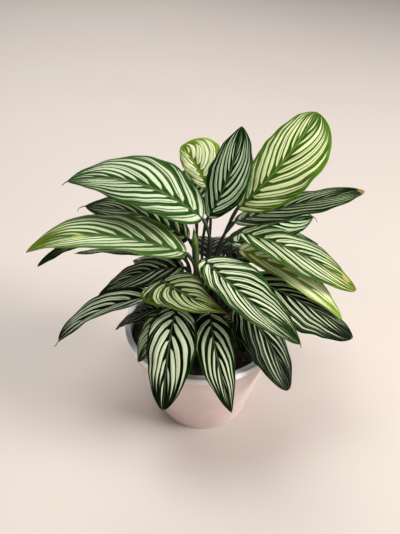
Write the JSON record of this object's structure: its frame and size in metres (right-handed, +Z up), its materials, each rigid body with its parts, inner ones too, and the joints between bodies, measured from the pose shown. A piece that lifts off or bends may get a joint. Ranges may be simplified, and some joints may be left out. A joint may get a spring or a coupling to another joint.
{
  "type": "potted calathea",
  "caption": "Houseplant with long stalked, pale-striped oval leaves spreading from a tapered round plastic pot filled with potting mix.",
  "frame": {"origin": "middle of the pot's flat base, on the surface that it stands on", "axes": "+Z up along the pot's axis; the side that the picture shows faces -Y, and +X is to its right"},
  "size_m": [0.2956, 0.214, 0.2974],
  "materials": {
    "pot": "satin",
    "soil": "matte",
    "leaf": "satin",
    "young_leaf": "satin"
  },
  "bodies": {
    "root": {"pot": "pot", "soil": "soil", "leaf_left_high": "leaf", "leaf_left_shaded": "leaf", "leaf_left_long": "leaf", "leaf_left_edge": "leaf", "leaf_left_under": "leaf", "leaf_left_low": "leaf", "leaf_left_front": "leaf", "leaf_left_dark": "leaf", "leaf_front_small": "leaf", "leaf_front_broad": "leaf", "leaf_hanging_left": "leaf", "leaf_hanging_middle": "leaf", "leaf_hanging_right": "leaf", "leaf_rim_left": "leaf", "leaf_front_inner": "leaf", "leaf_right_long": "leaf", "leaf_right_middle": "leaf", "leaf_right_small": "leaf", "leaf_right_pale": "young_leaf", "leaf_right_low": "leaf", "leaf_tall_right": "young_leaf", "leaf_tall_middle": "leaf", "leaf_young_curled": "young_leaf", "leaf_back_high": "leaf", "leaf_back_left": "leaf", "leaf_back_right": "leaf", "leaf_back_low": "leaf", "leaf_back_left_low": "leaf", "leaf_back_right_low": "leaf", "leaf_rolled_new": "young_leaf"}
  },
  "joints": []
}
